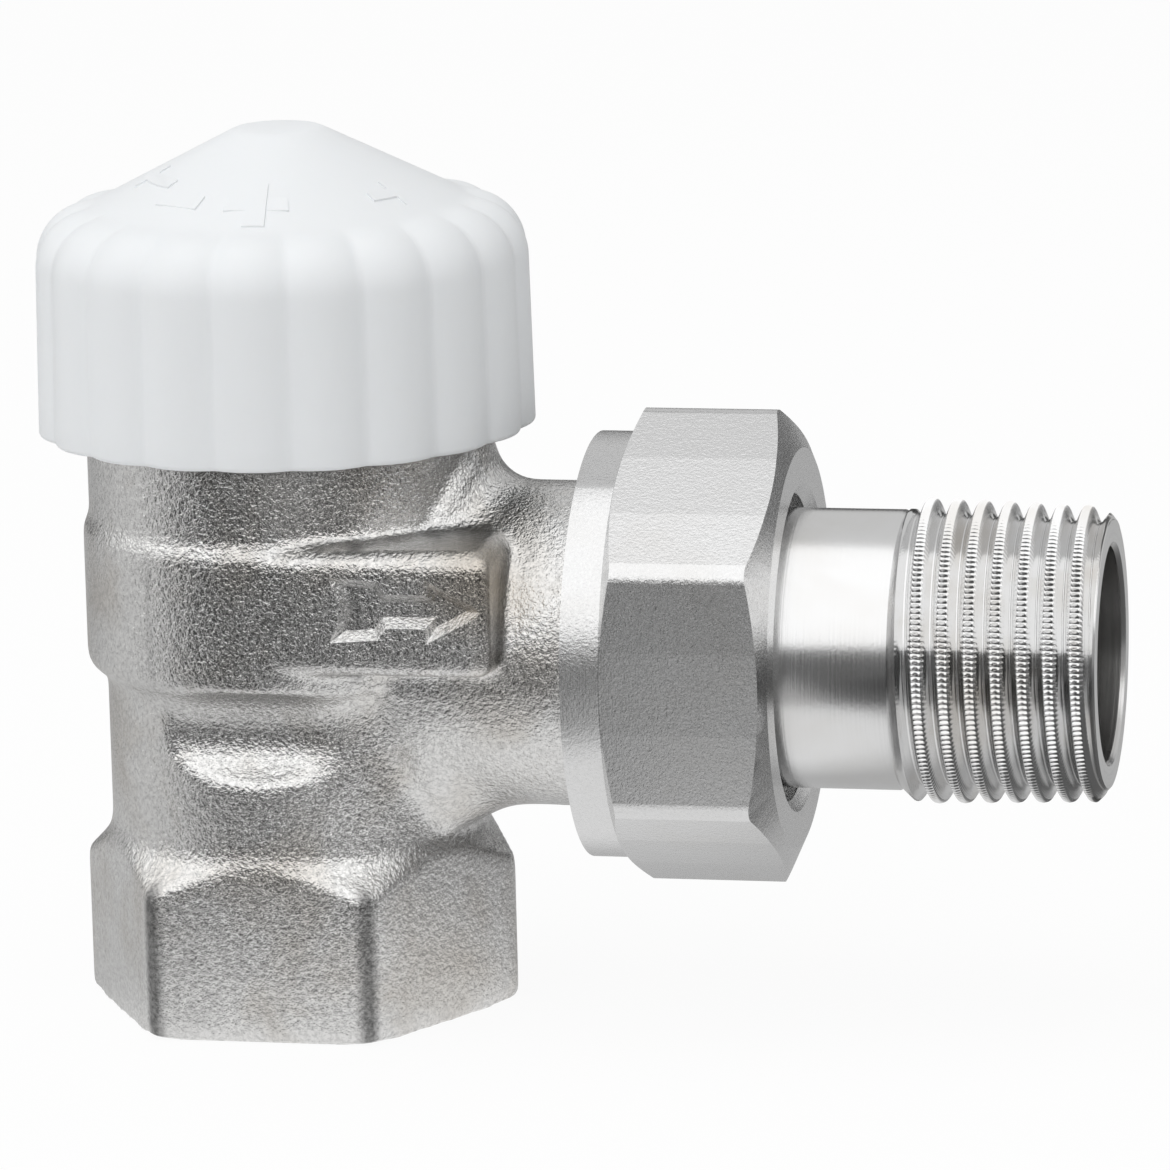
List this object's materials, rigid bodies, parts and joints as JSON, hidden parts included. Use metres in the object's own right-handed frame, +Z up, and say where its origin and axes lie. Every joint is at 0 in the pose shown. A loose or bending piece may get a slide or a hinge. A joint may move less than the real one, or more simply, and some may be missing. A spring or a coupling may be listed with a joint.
{
  "type": "radiator valve body",
  "caption": "Angle radiator valve body with a fluted hand cap, hexagonal inlet foot, union nut and threaded tailpiece. The cap presses a sprung stem that opens or shuts the water path.",
  "frame": {"origin": "centre of the inlet face, on the valve axis", "axes": "+Z up along the valve stem towards the cap, +X along the outlet towards the tailpiece end"},
  "size_m": [0.0755, 0.035, 0.0624],
  "materials": {
    "plated_forging": "nickel-plated, shot-blasted forging",
    "plated_nut": "nickel-plated, satin",
    "plated_tube": "nickel-plated, turned",
    "cap_plastic": "matte white moulding",
    "turned_brass": "turned",
    "bright_steel": "drawn",
    "seal_rubber": "moulded",
    "washer_plastic": "turned"
  },
  "bodies": {
    "valve": {"valve_body": "plated_forging", "insert_bonnet": "turned_brass", "bonnet_o_ring": "seal_rubber", "gland_washer": "washer_plastic", "gland_nut": "turned_brass", "gland_o_ring": "seal_rubber", "pin_o_ring": "seal_rubber", "return_spring": "bright_steel"},
    "stem": {"pressure_pin": "bright_steel", "spindle": "bright_steel", "spring_plate": "bright_steel", "spindle_clip": "bright_steel", "disc_holder": "turned_brass", "seat_disc": "seal_rubber", "disc_washer": "bright_steel", "disc_nut": "turned_brass"},
    "cap": {"hand_cap": "cap_plastic"},
    "tail": {"tailpiece": "plated_tube"},
    "nut": {"union_nut": "plated_nut"}
  },
  "joints": [
    {"name": "stem_lift", "type": "slide", "parent": "valve", "child": "stem", "axis": [0, 0, 1], "range_m": [-0.0022, 0], "deforming": ["return_spring"]},
    {"name": "cap_turn", "type": "hinge", "parent": "stem", "child": "cap", "pos_m": [0, 0, 0.05], "axis": [0, 0, 1], "range_deg": [-528, 0]},
    {"name": "tail_slide", "type": "slide", "parent": "valve", "child": "tail", "axis": [1, 0, 0], "range_m": [0, 0.00816]},
    {"name": "nut_turn", "type": "hinge", "parent": "tail", "child": "nut", "pos_m": [0.03, 0, 0.026], "axis": [1, 0, 0], "range_deg": [0, 1620]}
  ],
  "couplings": [
    {"joint": "cap_turn", "follows": "stem_lift", "rad_per_m": 4188.8},
    {"joint": "nut_turn", "follows": "tail_slide", "rad_per_m": 3463.1}
  ]
}
